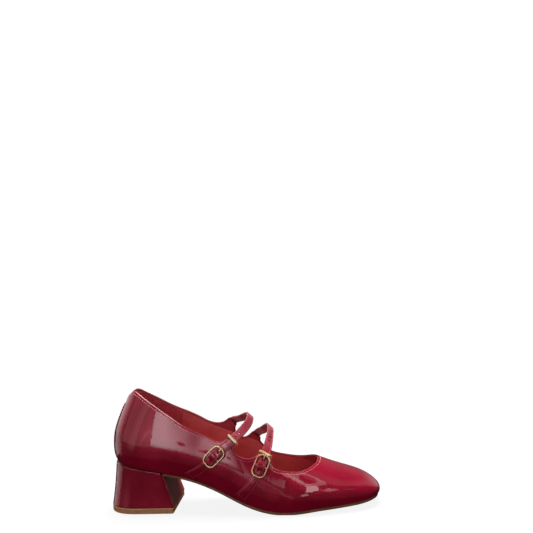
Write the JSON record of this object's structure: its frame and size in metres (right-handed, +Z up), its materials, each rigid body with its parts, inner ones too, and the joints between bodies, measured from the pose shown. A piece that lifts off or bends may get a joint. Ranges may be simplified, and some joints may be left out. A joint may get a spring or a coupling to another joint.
{
  "type": "block-heel mary jane pump",
  "caption": "Right women's Mary Jane pump with a square toe, flared block heel and buckled straps over a low open throat.",
  "frame": {"origin": "on the floor, under the middle of the shoe's bounding box", "axes": "+X from the heel to the toe, +Y to the wearer's inner (medial) side, +Z up; the shoe stands on its top lift and the ball of its sole at z = 0"},
  "size_m": [0.2452, 0.0786, 0.1077],
  "materials": {
    "patent_leather": "high-gloss patent, deep cherry red",
    "lining_leather": "matt, warm red",
    "sole_leather": "satin dark brown",
    "top_lift_rubber": "matt tan",
    "pale_gold": "polished pale gold plating"
  },
  "bodies": {
    "root": {"upper": "patent_leather", "outsole": "sole_leather", "insole": "lining_leather", "heel": "patent_leather", "top_lift": "top_lift_rubber", "strap_rear": "patent_leather", "strap_front": "patent_leather", "chape_rear": "patent_leather", "chape_front": "patent_leather", "buckle_rear": "pale_gold", "buckle_front": "pale_gold", "prong_rear": "pale_gold", "prong_front": "pale_gold", "keeper_rear": "pale_gold", "keeper_front": "pale_gold"}
  },
  "joints": []
}
